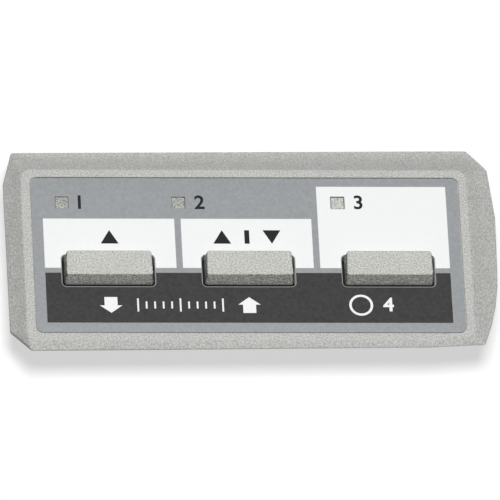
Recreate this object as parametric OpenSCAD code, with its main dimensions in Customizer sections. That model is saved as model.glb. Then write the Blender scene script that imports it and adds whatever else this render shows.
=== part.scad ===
// Operator panel of a dot matrix printer: a moulded cover with a printed label, three push buttons over
// tact switches, three indicator windows over lamps, and the circuit board that carries them.
// The cover's mounting plane is z = 0, its face looks along +z and the paper side of the printer is +y.

/* [Label] */
// Width of the printed label
label_w = 86; // [84:0.5:88]
// Height of the printed label
label_h = 35.4; // [35:0.1:36]
// Corner radius of the label
label_corner_r = 1.4; // [1:0.1:2]
// Thickness of the label film
label_t = 0.25; // [0.15:0.05:0.3]
// Depth of the recess that the label lies in
label_recess = 0.5; // [0.4:0.05:0.6]

/* [Cover] */
// Height of the rim above the mounting plane
face_z = 12.5; // [12.5:0.1:13]
// Thickness of the cover's walls
wall = 2; // [1.8:0.1:2.2]
// Width of the flat rim around the label
rim_w = 1.8; // [1.7:0.1:2.1]
// Width of the soft shoulder between the rim and the flanks
shoulder_w = 0.35; // [0.3:0.05:0.6]
// Width of the left flank
flank_left = 3.4; // [3.3:0.1:4.7]
// Width of the right flank at its widest
flank_right = 5.7; // [5.2:0.1:6.7]
// Width of the flank above the label
flank_top = 6.7; // [6.5:0.1:7.7]
// Width of the flank below the label
flank_bottom = 1.4; // [1.3:0.1:1.7]
// Slope of the left flank, in degrees
slope_left = 48; // [40:1:49]
// Slope of the right flank
slope_right = 32; // [28:1:33]
// Slope of the flank above the label
slope_top = 34; // [28:1:35]
// Slope of the flank below the label
slope_bottom = 30; // [24:1:32]

/* [Buttons] */
// Distance between neighbouring buttons
button_pitch = 28.1; // [27.5:0.1:28.5]
// Centre line of the buttons, below the label's centre
button_drop = 3.55; // [3:0.05:4]
// Width of a button at the label
button_w = 17.8; // [17:0.1:18]
// Depth of a button at the label
button_d = 6.3; // [6:0.1:6.4]
// Height of a button above the label
button_h = 2.8; // [2:0.1:3.5]
// Travel of a button
button_travel = 0.3; // [0.2:0.05:0.35]

/* [Indicators] */
// Side of the square indicator windows
window_side = 2.6; // [2.4:0.1:2.8]
// Centre line of the windows, above the label's centre
window_rise = 12.1; // [12:0.1:12.5]
// Diameter of the lamps
lamp_d = 3; // [2.8:0.1:3.2]

/* [Board] */
// Thickness of the circuit board
board_t = 1.6; // [1.2:0.1:1.6]
// Height of the board's component side above the mounting plane
board_z = 4; // [4:0.1:4.1]

/* [Mounting] */
// Distance between the two mounting screws
boss_spacing = 83.6; // [83.6:0.1:84]
// Radius of the pilot holes for the mounting screws
pilot_r = 1.25; // [1.1:0.05:1.4]
// Depth of the pilot holes
pilot_depth = 8; // [6:0.5:9]

/* [Hidden] */
$fn = 48;
eps = 0.01;
over = 0.5;                                  // how far a cutter runs past the face it opens

// Colours
cover_grey = [0.72, 0.72, 0.70];
button_grey = [0.78, 0.78, 0.76];
label_grey = [0.60, 0.62, 0.64];
guide_clear = [0.80, 0.80, 0.77];
board_tan = [0.62, 0.47, 0.28];
steel = [0.75, 0.76, 0.78];
solder_grey = [0.72, 0.73, 0.75];
lamp_colours = [[0.35, 0.65, 0.35], [0.75, 0.25, 0.20], [0.85, 0.50, 0.15]];

// Levels of the face
floor_z = face_z - label_recess;             // floor of the label recess
label_z = floor_z + label_t;                 // printed side of the label
ceiling_z = floor_z - wall;                  // inside of the face

// The outline of the cover: chamfered corners, top and bottom edges that climb a little to the right,
// and a right side that is bowed below its crown
label_gap = 0.12;
out_left = -(label_w / 2 + rim_w + flank_left);
out_right = label_w / 2 + rim_w + flank_right;
out_top = label_h / 2 + rim_w + flank_top;
out_bottom = -(label_h / 2 + rim_w + flank_bottom);
edge_climb = 0.009;
chamfer_top_left = [1.9, 7.8];
chamfer_bottom_left = [3.8, 5];
chamfer_top_right = 4.7;
crown = [0.2, 10.7];
shoulder_right = [-1, 21.2];
bend_x = 36;
bow_r = 52;
bow_y = -0.5;
bow_angle = 21.5;
bow_steps = 4;

rim_corner_r = label_corner_r + 0.7;
edge_land = 0.35;                            // height of the flanks' edge
edge_r = 0.25;                               // rounding of the edge's corners
edge_lip = 0.3;                              // how far the rib round the edge stands down inside

// The skirt behind the cover
skirt_w = 90;
skirt_bottom = -13.8;
skirt_top = 19.8;
skirt_wall = 1.8;
skirt_corner_r = 3;
skirt_h = skirt_top - skirt_bottom;
skirt_y = (skirt_top + skirt_bottom) / 2;
bond = 0.6;                                  // how deep inner features root in the face
gusset_t = 1.2;
gussets_top = [-40, -15, 18, 41];
gussets_right = [-8, 2, 12];
rib_t = 1;
rib_h = 1.6;
ribs_y = [3.9, -10.4];
hook_w = 9;
hook_slot = 1;
hook_root_z = 8.5;
hook_bite = 1.2;
hook_catch_z = [1.4, 5];                     // where a catch starts and where it bites
hook_nose_w = hook_w - 2;                    // width of a catch
hook_round = 0.4;                            // how far a catch's ends slope into its hook
hook_land = 0.6;                             // height of a catch's outer face
hooks_bottom = [-28.1, 28.1];
hooks_top = [-27, 8];

// Buttons
sides = [-1, 0, 1];
button_y = -button_drop;
hole_w = button_w + 0.8;
hole_d = button_d + 0.85;
hole_r = 0.9;
label_hole_margin = 0.05;
cap_r = 0.55;
cap_taper = [0.1, 0.75];                     // how much the top is narrower, at each end and at the front
cap_edge_r = 0.25;
cap_wall = 1.2;
cap_hollow_r = 0.4;
cap_post_r = 1.5;
cap_rib_t = 1;
cap_rib_x = 4.5;
cap_root = 0.3;                              // how deep the post and ribs root in the cap
flange_t = 1;
flange_lap = 0.8;                            // how far a button's flange reaches behind the cover
flange_play = 0.1;
guide_play = 0.25;
guide_wall = 1.1;
guide_z = 6.6;
guide_r = [0.6, 1.6];                        // corner radii of the guide walls, inside and outside
flange_r = 0.6;
flange_z = ceiling_z - flange_play - flange_t;

// Tact switches
switch_side = 6;
switch_corner_r = 0.4;
switch_base_h = 3.2;
switch_cover_t = 0.3;
switch_h = 4.3;
plunger_r = 1.75;
plunger_foot_r = 0.8;
plunger_flange_t = 0.8;
plunger_gap = 0.05;                          // between the plunger and what lies over it
plunger_play = 0.1;                          // round the stem, in the steel cover
plunger_flange_play = 0.2;                   // round the flange, in the base
plunger_chamfer = 0.15;
cavity_r = 2.4;
cavity_floor = 1.2;
dome_r = 2.1;
dome_rise = 2 * button_travel;                // a pressed dome keeps half its rise
dome_t = 0.12;
terminal_x = 3.25;
terminal_y = 2.25;
terminal_w = 0.7;
terminal_t = 0.3;
terminal_rise = 0.9;                         // how far a terminal comes up beside the base
plunger_top_z = board_z + switch_h;

// Lamps
window_x = [-36.85, -13.4, 18.6];
window_play = 0.1;                           // all round a window's light guide, both sides together
window_r = 0.1;
guide_sunk = 0.1;                            // how far a light guide stands below the label's face
lamp_r = lamp_d / 2;
lamp_h = 5.3;
lamp_flange_r = lamp_r + 0.4;
lamp_flange_t = 1;
lead_x = 1.27;
sleeve_r = 3.2;
sleeve_bore_r = lamp_flange_r + 0.3;
sleeve_lift = 1.6;                           // room under the sleeves for the lamps' leads
guide_flange_t = 0.6;

// Board and what is on it
board_w = 84.6;
board_bottom = -11.6;
board_top = 16.9;
board_corner_r = 1;
boss_notch_r = 3.6;
boss_r = 3;
screw_xy = [[-14.05, -6.9], [14.05, -6.9], [3, 13.4]];
screw_r = 1.25;
screw_hole_r = 1.5;
standoff_r = 2.4;
standoff_bore_r = 1.3;
standoff_bore = 5;
screw_head_r = 2.5;
screw_head_h = 1.6;
screw_head_taper = 0.4;
screw_reach = 4.4;                           // how far a screw goes into its standoff
screw_tip = 0.6;
screw_cross = [2.6, 0.6, 0.9];               // the cross recess
pin_xy = [[-27, 13.2], [39.4, 12.4]];
pin_r = 1;
pin_collar = 1;                              // how much wider a pin is above the board
pin_play = 0.1;
pin_tip = 0.8;                               // how far the pins come through the board
resistor_xy = [[-31.5, 6.6], [-9, 6.6], [12.5, 6.6]];
resistor_pitch = 10;
resistor_r = 1.15;
resistor_waist_r = 0.95;
resistor_end_r = 0.8;
resistor_l = 6.2;
resistor_cap = 1.7;                          // length of a resistor's thicker ends
resistor_z = board_z + resistor_r + 0.1;
capacitor_xy = [[-20.5, 6.9], [1.6, 6.9], [23, 6.0]];
capacitor_pitch = 2.5;
capacitor_r = 2.2;
capacitor_t = 2.2;
capacitor_lift = 0.6;                        // length of the leads above the board
connector_xy = [30.6, 11.9];
connector_size = [12.6, 7.2, 5.4];
notch = [15, 9];                             // width and height of the cable's way out
contact_n = 8;
contact_pitch = 1.25;
contact = [0.4, 0.3];
cell = 0.7;                                  // width of the connector's cell for a contact
mouth_z = 2.8;                               // height of the connector's slot above the board
lead_in = 0.9;                               // slope at the mouth of the slot
contact_rows = [-1.9, 0.6];                  // where the contacts' legs stand, from the connector's middle
contact_arm = [0.2, 0.3];                    // thickness of a contact's arm, and its depth below the slot
slot_depth = 4.2;
slot_h = 0.9;
wire_r = 0.3;
hole_play = 0.15;
solder_tail = [0.3, 1.2];                    // radius of a cut lead, and how far it comes through the board
solder_cone = [0.34, 0.6, 0.8];              // radii at a joint's tip and at the board, and its height

// Points of a rectangle with rounded corners, centred on the origin
function rounded_rect(w, h, r, n = 6) = [
    for (c = [[1, 1, 0], [-1, 1, 90], [-1, -1, 180], [1, -1, 270]])
        for (k = [0 : n])
            [c.x * (w / 2 - r) + r * cos(c.z + 90 * k / n), c.y * (h / 2 - r) + r * sin(c.z + 90 * k / n)]
];

// A point of the outline on one of its climbing edges
function climbing(x, y) = [x, y + edge_climb * x];

// The outline of the cover, anticlockwise from its lower left corner
function cover_outline() = concat(
    [climbing(out_left + chamfer_bottom_left.x, out_bottom), climbing(bend_x, out_bottom)],
    [for (k = [0 : bow_steps]) let (a = -bow_angle * (1 - k / bow_steps))
        [out_right - bow_r + bow_r * cos(a), bow_y + bow_r * sin(a)]],
    [[out_right + crown.x, crown.y], [out_right + shoulder_right.x, shoulder_right.y],
     climbing(out_right - chamfer_top_right, out_top), climbing(out_left + chamfer_top_left.x, out_top),
     [out_left, out_top - chamfer_top_left.y], [out_left, out_bottom + chamfer_bottom_left.y]]);

// Height of the flanks at p: they are four planes that start at the rim
function flank_height(p) =
    let (rim = [label_w / 2 + rim_w + shoulder_w / 2, label_h / 2 + rim_w + shoulder_w / 2])
        face_z - max(0, (p.x - rim.x) * tan(slope_right), (-rim.x - p.x) * tan(slope_left),
                     (p.y - rim.y) * tan(slope_top), (-rim.y - p.y) * tan(slope_bottom));

module rounded_plate(w, h, t, r) {
    linear_extrude(t) polygon(rounded_rect(w, h, r));
}

module at_buttons() {
    for (s = sides) translate([s * button_pitch, button_y, 0]) children();
}

module at_windows() {
    for (x = window_x) translate([x, window_rise, 0]) children();
}

module at_points(points) {
    for (p = points) translate([p.x, p.y, 0]) children();
}

// ---- Cover -------------------------------------------------------------------------------------------

// A small upright pin at each corner of the cover's outline, from below the flank's height up to it,
// moved inwards by inset
module edge_pins(inset, rise, drop) {
    for (p = cover_outline()) let (q = p * (1 - inset / norm(p)))
        translate([q.x, q.y, flank_height(p) + rise - drop]) cylinder(r = edge_r, h = drop, $fn = 8);
}

// The outside of the cover: a flat face with a soft shoulder, and flanks down to a thin edge
module pod() {
    rim = [label_w + 2 * rim_w, label_h + 2 * rim_w];
    shoulder_out = 0.7 * shoulder_w;
    hull() {
        translate([0, 0, face_z - eps]) rounded_plate(rim.x, rim.y, eps, rim_corner_r);
        translate([0, 0, face_z - shoulder_w / 3 - eps])
            rounded_plate(rim.x + 2 * shoulder_out, rim.y + 2 * shoulder_out, eps,
                          rim_corner_r + shoulder_out);
        edge_pins(edge_r, 0, edge_land);
    }
}

// The hollow under the flanks
module pod_hollow() {
    hull() {
        translate([0, 0, ceiling_z - eps]) rounded_plate(label_w + rim_w, label_h + rim_w, eps, rim_corner_r);
        edge_pins(wall, edge_lip - edge_land, ceiling_z);
    }
}

// A gusset that ties a flank to the skirt, running out along +x from the skirt's outer face
module gusset(run, foot) {
    rotate([90, 0, 0]) translate([0, 0, -gusset_t / 2]) linear_extrude(gusset_t)
        polygon([[-1, foot], [run, foot], [run, foot + edge_lip], [bond, ceiling_z + bond],
                 [-1, ceiling_z + bond]]);
}

module gussets() {
    for (x = gussets_top) translate([x, skirt_top, 0]) rotate([0, 0, 90])
        gusset(out_top - skirt_top - wall - bond, flank_height([x, out_top]) - edge_land + edge_lip);
    for (y = gussets_right) translate([skirt_w / 2, y, 0])
        gusset(out_right - skirt_w / 2 - wall - 2 * bond,
               flank_height([out_right, y]) - edge_land + edge_lip);
}

module skirt() {
    translate([0, skirt_y, 0]) difference() {
        rounded_plate(skirt_w, skirt_h, ceiling_z + bond, skirt_corner_r);
        translate([0, 0, -over])
            rounded_plate(skirt_w - 2 * skirt_wall, skirt_h - 2 * skirt_wall, ceiling_z + over,
                          skirt_corner_r - skirt_wall);
    }
}

// One snap hook's catch on the outside of a wall at y = 0, with the wall on its +y side
module hook_catch() {
    foot = hook_catch_z.x;
    bite = hook_catch_z.y;
    translate([-hook_nose_w / 2, 0, 0]) rotate([90, 0, 90]) linear_extrude(hook_nose_w)
        polygon([[over, foot - hook_round], [0, foot], [-hook_bite, bite - hook_land], [-hook_bite, bite],
                 [0, bite + hook_round], [over, bite + hook_round]]);
}

module hook_slots() {
    for (s = [-1, 1]) translate([s * (hook_w + hook_slot) / 2 - hook_slot / 2, -2 * skirt_wall, -over])
        cube([hook_slot, 4 * skirt_wall, hook_root_z + over]);
}

module at_hooks() {
    for (x = hooks_bottom) translate([x, skirt_bottom, 0]) children();
    for (x = hooks_top) translate([x, skirt_top, 0]) rotate([0, 0, 180]) children();
}

// Walls that guide a button's flange
module button_guides() {
    size = [hole_w + 2 * (flange_lap + guide_play), hole_d + 2 * (flange_lap + guide_play)];
    at_buttons() translate([0, 0, guide_z]) difference() {
        rounded_plate(size.x + 2 * guide_wall, size.y + 2 * guide_wall, ceiling_z + bond - guide_z,
                      guide_r[1]);
        translate([0, 0, -over]) rounded_plate(size.x, size.y, ceiling_z + over - guide_z, guide_r[0]);
    }
}

// Posts behind the face: lamp sleeves, board standoffs, locating pins and mounting bosses
module posts() {
    sleeve_z = board_z + sleeve_lift;
    at_windows() translate([0, 0, sleeve_z]) cylinder(r = sleeve_r, h = ceiling_z + bond - sleeve_z);
    at_points(screw_xy) translate([0, 0, board_z]) cylinder(r = standoff_r, h = ceiling_z + bond - board_z);
    at_points(pin_xy) {
        translate([0, 0, board_z]) cylinder(r = pin_r + pin_collar, h = ceiling_z + bond - board_z);
        translate([0, 0, board_z - board_t - pin_tip / 2]) cylinder(r = pin_r, h = board_t + pin_tip);
        translate([0, 0, board_z - board_t - pin_tip])
            cylinder(r1 = pin_r - pin_tip / 2, r2 = pin_r, h = pin_tip / 2);
    }
    for (s = [-1, 1]) translate([s * boss_spacing / 2, 0, 0]) cylinder(r = boss_r, h = ceiling_z + bond);
}

module post_bores() {
    at_windows() translate([0, 0, board_z]) cylinder(r = sleeve_bore_r, h = ceiling_z - board_z);
    at_points(screw_xy) translate([0, 0, board_z - over])
        cylinder(r = standoff_bore_r, h = standoff_bore + over);
    for (s = [-1, 1]) translate([s * boss_spacing / 2, 0, -over])
        cylinder(r = pilot_r, h = pilot_depth + over);
}

// Ribs that stiffen the face
module face_ribs() {
    rib_z = ceiling_z - rib_h;
    for (y = ribs_y) translate([-skirt_w / 2 + 1, y - rib_t / 2, rib_z])
        cube([skirt_w - 2, rib_t, rib_h + bond]);
    for (s = [-1, 1]) translate([s * button_pitch / 2 - rib_t / 2, skirt_bottom + 1, rib_z])
        cube([rib_t, ribs_y[0] - skirt_bottom, rib_h + bond]);
}

module face_cutters() {
    translate([0, 0, floor_z])
        rounded_plate(label_w + 2 * label_gap, label_h + 2 * label_gap, label_recess + over,
                      label_corner_r + label_gap);
    at_buttons() translate([0, 0, ceiling_z - over]) rounded_plate(hole_w, hole_d, wall + 2 * over, hole_r);
    at_windows() translate([0, 0, ceiling_z - over])
        rounded_plate(window_side + window_play, window_side + window_play, wall + 2 * over, window_r);
}

// The way out for the ribbon cable, open to the rear
module cable_notch() {
    translate([connector_xy.x - notch.x / 2, skirt_top - 2 * skirt_wall, -over])
        cube([notch.x, 3 * skirt_wall, notch.y + over]);
}

module panel_housing() {
    color(cover_grey) difference() {
        union() {
            difference() { pod(); pod_hollow(); }
            gussets();
            translate([0, skirt_y, ceiling_z])
                rounded_plate(skirt_w - 1, skirt_h - 1, 1, skirt_corner_r - 0.5);
            skirt();
            at_hooks() hook_catch();
            button_guides();
            posts();
            face_ribs();
        }
        face_cutters();
        post_bores();
        at_hooks() hook_slots();
        cable_notch();
    }
}

// ---- Label -------------------------------------------------------------------------------------------

module control_label() {
    color(label_grey) translate([0, 0, floor_z]) difference() {
        rounded_plate(label_w, label_h, label_t, label_corner_r);
        at_buttons() translate([0, 0, -over])
            rounded_plate(hole_w + 2 * label_hole_margin, hole_d + 2 * label_hole_margin, 2 * over,
                          hole_r + label_hole_margin);
        at_windows() translate([0, 0, -over])
            rounded_plate(window_side + window_play, window_side + window_play, 2 * over, window_r);
    }
}

// ---- Buttons -----------------------------------------------------------------------------------------

// The outside of a button: straight in the hole, then tapered, with a sloping front and a rounded top edge
module cap_outside() {
    top_z = label_z + button_h;
    hull() {
        translate([0, 0, flange_z]) rounded_plate(button_w, button_d, label_z - flange_z, cap_r);
        for (a = [0, 30, 60, 90]) {
            inset = cap_edge_r * (1 - sin(a));
            z = top_z - cap_edge_r * (1 - cos(a));
            translate([0, cap_taper.y / 2, z - eps])
                rounded_plate(button_w - 2 * cap_taper.x - 2 * inset, button_d - cap_taper.y - 2 * inset, eps,
                              cap_r - inset);
        }
    }
}

module cap_hollow() {
    size = [button_w - 2 * cap_taper.x - 2 * cap_wall, button_d - cap_taper.y - 2 * cap_wall];
    translate([0, cap_taper.y / 4, flange_z - over])
        rounded_plate(size.x, size.y, label_z + button_h - cap_wall - flange_z + over,
                      cap_hollow_r);
}

// The post that presses the switch, with ribs across the hollow
module cap_post() {
    roof_z = label_z + button_h - cap_wall;
    foot_z = plunger_top_z + plunger_gap;
    rib_h = roof_z + cap_root - flange_z;
    translate([0, 0, foot_z]) cylinder(r = cap_post_r, h = roof_z + cap_root - foot_z);
    for (x = [-cap_rib_x, 0, cap_rib_x])
        translate([x - cap_rib_t / 2, -button_d / 2 + 1, flange_z]) cube([cap_rib_t, button_d - 2, rib_h]);
    translate([-button_w / 2 + 1, -cap_rib_t / 2, flange_z]) cube([button_w - 2, cap_rib_t, rib_h]);
}

module button(side) {
    color(button_grey) translate([side * button_pitch, button_y, 0]) {
        difference() {
            union() {
                cap_outside();
                translate([0, 0, flange_z])
                    rounded_plate(hole_w + 2 * flange_lap, hole_d + 2 * flange_lap, flange_t, flange_r);
            }
            cap_hollow();
        }
        cap_post();
    }
}

// ---- Indicator windows and lamps -----------------------------------------------------------------------

module light_guide(i) {
    guide_bottom_z = ceiling_z - guide_flange_t;
    color(guide_clear) translate([window_x[i], window_rise, guide_bottom_z]) {
        rounded_plate(window_side, window_side, label_z - guide_sunk - guide_bottom_z, window_r);
        cylinder(r = sleeve_bore_r - window_play / 2, h = guide_flange_t);
    }
}

module indicator_led(i) {
    color(lamp_colours[i]) translate([window_x[i], window_rise, board_z]) {
        cylinder(r = lamp_flange_r, h = lamp_flange_t);
        cylinder(r = lamp_r, h = lamp_h - lamp_r);
        translate([0, 0, lamp_h - lamp_r]) sphere(r = lamp_r);
    }
}

module led_leads() {
    color(steel) at_windows() for (s = [-1, 1])
        translate([s * lead_x, 0, board_z - board_t]) cylinder(r = wire_r, h = board_t);
}

// ---- Tact switches -------------------------------------------------------------------------------------

module at_switch(side) {
    translate([side * button_pitch, button_y, board_z]) children();
}

module switch_base(side) {
    color("#26262a") at_switch(side) difference() {
        rounded_plate(switch_side, switch_side, switch_base_h, switch_corner_r);
        translate([0, 0, cavity_floor]) cylinder(r = cavity_r, h = switch_base_h);
    }
}

// The snap dome that clicks and pushes the plunger back up: a shallow spherical cap
module switch_dome(side) {
    cap_sphere_r = (dome_r * dome_r + dome_rise * dome_rise) / (2 * dome_rise);
    color(steel) at_switch(side) translate([0, 0, cavity_floor]) intersection() {
        translate([0, 0, dome_rise - cap_sphere_r]) difference() {
            sphere(r = cap_sphere_r);
            sphere(r = cap_sphere_r - dome_t);
        }
        cylinder(r = cavity_r, h = dome_rise + dome_t);
    }
}

// The plunger: a foot on the dome, a flange that keeps it in, and the stem that the button presses
module switch_plunger(side) {
    flange_top = switch_base_h - plunger_gap;
    foot = cavity_floor + dome_rise + 2 * eps;
    color("#3a3a3e") at_switch(side) {
        translate([0, 0, foot]) cylinder(r = plunger_foot_r, h = flange_top - foot);
        translate([0, 0, flange_top - plunger_flange_t]) 
            cylinder(r = cavity_r - plunger_flange_play, h = plunger_flange_t);
        translate([0, 0, flange_top - eps])
            cylinder(r = plunger_r, h = switch_h - plunger_chamfer - flange_top + eps);
        translate([0, 0, switch_h - plunger_chamfer])
            cylinder(r1 = plunger_r, r2 = plunger_r - plunger_chamfer, h = plunger_chamfer);
    }
}

module switch_cover(side) {
    color(steel) at_switch(side) translate([0, 0, switch_base_h]) difference() {
        rounded_plate(switch_side, switch_side, switch_cover_t, switch_corner_r);
        translate([0, 0, -over]) cylinder(r = plunger_r + plunger_play, h = 2 * over);
    }
}

// Four flat legs to each switch
module switch_terminals() {
    color(steel) at_buttons() for (x = [-1, 1], y = [-1, 1])
        translate([x * terminal_x - terminal_t / 2, y * terminal_y - terminal_w / 2, board_z - board_t])
            cube([terminal_t, terminal_w, board_t + terminal_rise]);
}

// ---- Board ---------------------------------------------------------------------------------------------

// Every soldered lead, as [x, y]
function solder_points() = concat(
    [for (s = sides, x = [-1, 1], y = [-1, 1])
        [s * button_pitch + x * terminal_x, button_y + y * terminal_y]],
    [for (w = window_x, s = [-1, 1]) [w + s * lead_x, window_rise]],
    [for (p = resistor_xy, s = [-1, 1]) [p.x + s * resistor_pitch / 2, p.y]],
    [for (p = capacitor_xy, s = [-1, 1]) [p.x + s * capacitor_pitch / 2, p.y]],
    [for (k = [0 : contact_n - 1]) contact_point(k)]);

// The legs of the connector stand in two staggered rows
function contact_point(k) = [connector_xy.x + (k - (contact_n - 1) / 2) * contact_pitch,
                             connector_xy.y + contact_rows[k % 2]];

module control_board() {
    board_h = board_top - board_bottom;
    color(board_tan) translate([0, 0, board_z - board_t]) difference() {
        translate([0, (board_top + board_bottom) / 2, 0])
            rounded_plate(board_w, board_h, board_t, board_corner_r);
        translate([0, 0, -over]) {
            for (s = [-1, 1]) {
                translate([s * boss_spacing / 2, 0, 0]) cylinder(r = boss_notch_r, h = 3 * over + board_t);
                translate([s * (boss_spacing / 2 + 2) - 2, -boss_notch_r, 0])
                    cube([4, 2 * boss_notch_r, 3 * over + board_t]);
            }
            at_points(screw_xy) cylinder(r = screw_hole_r, h = 3 * over + board_t);
            at_points(pin_xy) cylinder(r = pin_r + pin_play, h = 3 * over + board_t);
            at_points(solder_points()) cylinder(r = wire_r + hole_play, h = 3 * over + board_t, $fn = 24);
        }
    }
}

module solder_joints() {
    color(solder_grey) translate([0, 0, board_z - board_t]) at_points(solder_points()) {
        translate([0, 0, -solder_tail[1]])
            cylinder(r = solder_tail[0], h = solder_tail[1] - solder_cone[2] / 2, $fn = 24);
        translate([0, 0, -solder_cone[2]])
            cylinder(r1 = solder_cone[0], r2 = solder_cone[1], h = solder_cone[2], $fn = 24);
    }
}

module board_screws() {
    color(steel) at_points(screw_xy) translate([0, 0, board_z - board_t]) {
        cylinder(r = screw_r, h = board_t + screw_reach - screw_tip);
        translate([0, 0, board_t + screw_reach - screw_tip])
            cylinder(r1 = screw_r, r2 = screw_r - screw_tip, h = screw_tip);
        difference() {
            translate([0, 0, -screw_head_h])
                cylinder(r1 = screw_head_r - screw_head_taper, r2 = screw_head_r, h = screw_head_h);
            for (a = [0, 90]) rotate([0, 0, a])
                translate([-screw_cross.x / 2, -screw_cross.y / 2, -screw_head_h - over])
                    cube([screw_cross.x, screw_cross.y, screw_cross.z + over]);
        }
    }
}

// ---- Parts on the board ----------------------------------------------------------------------------------

module led_resistors() {
    slope = resistor_r - resistor_end_r;
    half = [[resistor_end_r, 0], [resistor_r, slope], [resistor_r, resistor_cap - slope],
            [resistor_waist_r, resistor_cap]];
    profile = concat([[wire_r + 2 * eps, 0]], half,
                     [for (k = [3 : -1 : 0]) [half[k].x, resistor_l - half[k].y]],
                     [[wire_r + 2 * eps, resistor_l]]);
    color("#c9a86a") at_points(resistor_xy) translate([-resistor_l / 2, 0, resistor_z]) rotate([0, 90, 0])
        rotate_extrude() polygon(profile);
}

module resistor_leads() {
    bend = 0.7;
    straight = resistor_pitch - 2 * bend;
    color(steel) at_points(resistor_xy) {
        translate([-straight / 2, 0, resistor_z]) rotate([0, 90, 0]) cylinder(r = wire_r, h = straight);
        for (s = [0, 180]) rotate([0, 0, s]) {
            translate([straight / 2, 0, resistor_z - bend]) rotate([90, 0, 0])
                rotate_extrude(angle = 90) translate([bend, 0]) circle(r = wire_r);
            translate([resistor_pitch / 2, 0, board_z - board_t])
                cylinder(r = wire_r, h = resistor_z - bend - board_z + board_t);
        }
    }
}

module filter_capacitors() {
    edge = 0.4;
    color("#d8902c") at_points(capacitor_xy)
        translate([0, capacitor_t / 2, board_z + capacitor_r + edge]) rotate([90, 0, 0]) {
            cylinder(r1 = capacitor_r - edge, r2 = capacitor_r, h = edge);
            translate([0, 0, edge]) cylinder(r = capacitor_r, h = capacitor_t - 2 * edge);
            translate([0, 0, capacitor_t - edge])
                cylinder(r1 = capacitor_r, r2 = capacitor_r - edge, h = edge);
        }
}

module capacitor_leads() {
    color(steel) at_points(capacitor_xy) for (s = [-1, 1])
        translate([s * capacitor_pitch / 2, 0, board_z - board_t])
            cylinder(r = wire_r, h = board_t + capacitor_lift);
}

// Ribbon cable connector, with its mouth towards +y
module cable_connector() {
    s = connector_size;
    slot = [contact_n * contact_pitch + 0.6, slot_depth, slot_h];
    color("#e6e2d6") translate([connector_xy.x, connector_xy.y, board_z]) difference() {
        translate([-s.x / 2, -s.y / 2, 0]) cube(s);
        // mouth, with a sloping lead-in
        translate([-slot.x / 2, s.y / 2 - slot.y, mouth_z]) cube([slot.x, slot.y + over, slot.z]);
        translate([-slot.x / 2, s.y / 2, mouth_z + slot.z / 2]) rotate([90, 0, 90]) linear_extrude(slot.x)
            polygon([[-lead_in, -slot.z / 2], [over, -slot.z / 2 - lead_in], [over, slot.z / 2 + lead_in],
                     [-lead_in, slot.z / 2]]);
        // one cell for each contact, open below and at the back
        for (k = [0 : contact_n - 1]) {
            p = contact_point(k) - connector_xy;
            translate([p.x - cell / 2, p.y - cell / 2, -over]) cube([cell, cell, mouth_z + 0.4 + over]);
            translate([p.x - cell / 2, p.y - cell / 2, mouth_z - 0.4])
                cube([cell, s.y / 2 - lead_in - p.y, 0.5]);
        }
        // chamfered rear edge
        translate([-s.x / 2 - over, -s.y / 2, s.z]) rotate([45, 0, 0]) cube([s.x + 2 * over, 1, 1]);
    }
}

module connector_contacts() {
    color(steel) for (k = [0 : contact_n - 1]) {
        p = contact_point(k);
        tip_y = connector_xy.y + connector_size.y / 2 - lead_in - contact.x;
        translate([p.x - contact.x / 2, p.y - contact.y / 2, board_z - board_t])
            cube([contact.x, contact.y, board_t + mouth_z - contact_arm[1] + contact_arm[0]]);
        translate([p.x - contact.x / 2, p.y - contact.y / 2, board_z + mouth_z - contact_arm[1]])
            cube([contact.x, tip_y - p.y, contact_arm[0]]);
    }
}

// ---- Nodes -----------------------------------------------------------------------------------------------

panel_housing();
control_label();
button(-1);  // button_left
button(0);  // button_middle
button(1);  // button_right
light_guide(0);  // light_guide_left
light_guide(1);  // light_guide_middle
light_guide(2);  // light_guide_right
control_board();
switch_base(-1);  // switch_base_left
switch_base(0);  // switch_base_middle
switch_base(1);  // switch_base_right
switch_dome(-1);  // switch_dome_left
switch_dome(0);  // switch_dome_middle
switch_dome(1);  // switch_dome_right
switch_plunger(-1);  // switch_plunger_left
switch_plunger(0);  // switch_plunger_middle
switch_plunger(1);  // switch_plunger_right
switch_cover(-1);  // switch_cover_left
switch_cover(0);  // switch_cover_middle
switch_cover(1);  // switch_cover_right
switch_terminals();
indicator_led(0);  // indicator_led_left
indicator_led(1);  // indicator_led_middle
indicator_led(2);  // indicator_led_right
led_leads();
led_resistors();
resistor_leads();
filter_capacitors();
capacitor_leads();
cable_connector();
connector_contacts();
solder_joints();
board_screws();
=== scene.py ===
"""Looks of an operator panel: moulded cover, printed label, buttons, indicator windows and the board inside.

Lengths are in millimetres until a mesh is finished, when it is scaled to metres.
"""

import math

import bmesh
import bpy
import numpy as np
from mathutils import Matrix, Vector


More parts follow.
